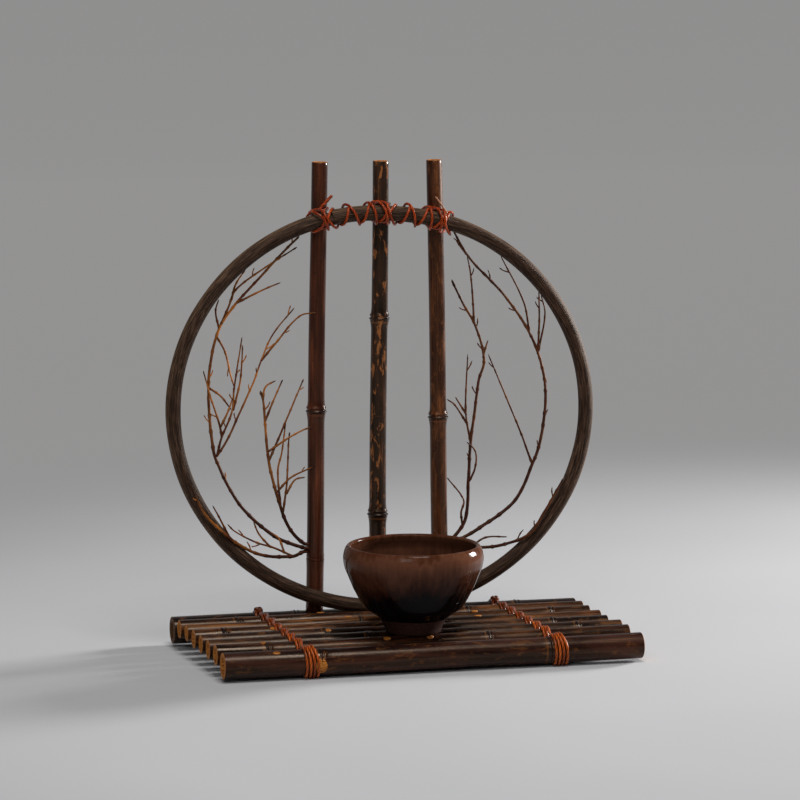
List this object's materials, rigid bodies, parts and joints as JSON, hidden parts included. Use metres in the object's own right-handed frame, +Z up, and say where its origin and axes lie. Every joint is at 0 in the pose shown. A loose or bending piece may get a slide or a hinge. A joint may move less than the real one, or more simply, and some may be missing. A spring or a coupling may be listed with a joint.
{
  "type": "bamboo vase",
  "caption": "Tabletop flower vase: a glazed bowl loose on a lashed bamboo raft, with bamboo uprights and an oval cane hoop behind it",
  "frame": {"origin": "on the ground, at the middle of the whole object's footprint", "axes": "+X to the right along the rails, +Y to the back, from the front rail to the back rail, +Z up"},
  "size_m": [0.3153, 0.1607, 0.3447],
  "materials": {
    "raft_bamboo": "dark stained bamboo with a satin skin",
    "slat_bamboo": "dark stained bamboo with a satin skin",
    "upright_left_bamboo": "deep red-brown bamboo with a glossy skin",
    "upright_middle_bamboo": "near-black bamboo with tan mottling and a glossy skin",
    "upright_right_bamboo": "brown bamboo with tan streaks and a glossy skin",
    "cane": "grey-brown bent cane with a fine grain along it",
    "cord": "glossy orange-red twisted cord",
    "twig": "dry red-brown twig with dark tips",
    "glaze": "glossy brown glaze over a bare foot ring"
  },
  "bodies": {
    "stand": {"front_rail": "raft_bamboo", "slat_1": "slat_bamboo", "slat_2": "slat_bamboo", "slat_3": "slat_bamboo", "slat_4": "slat_bamboo", "slat_5": "slat_bamboo", "slat_6": "slat_bamboo", "back_rail": "raft_bamboo", "upright_left": "upright_left_bamboo", "upright_middle": "upright_middle_bamboo", "upright_right": "upright_right_bamboo", "hoop": "cane", "hoop_lashing": "cord", "raft_lashing_left": "cord", "raft_lashing_right": "cord", "twigs_left_tall": "twig", "twigs_left_inner": "twig", "twigs_left_low": "twig", "twigs_right_tall": "twig", "twigs_right_inner": "twig", "twigs_right_low": "twig"},
    "bowl": {"bowl": "glaze"}
  },
  "joints": [
    {"name": "bowl_lift", "type": "slide", "parent": "stand", "child": "bowl", "axis": [0, 0, 1], "range_m": [0, 0.08]}
  ]
}
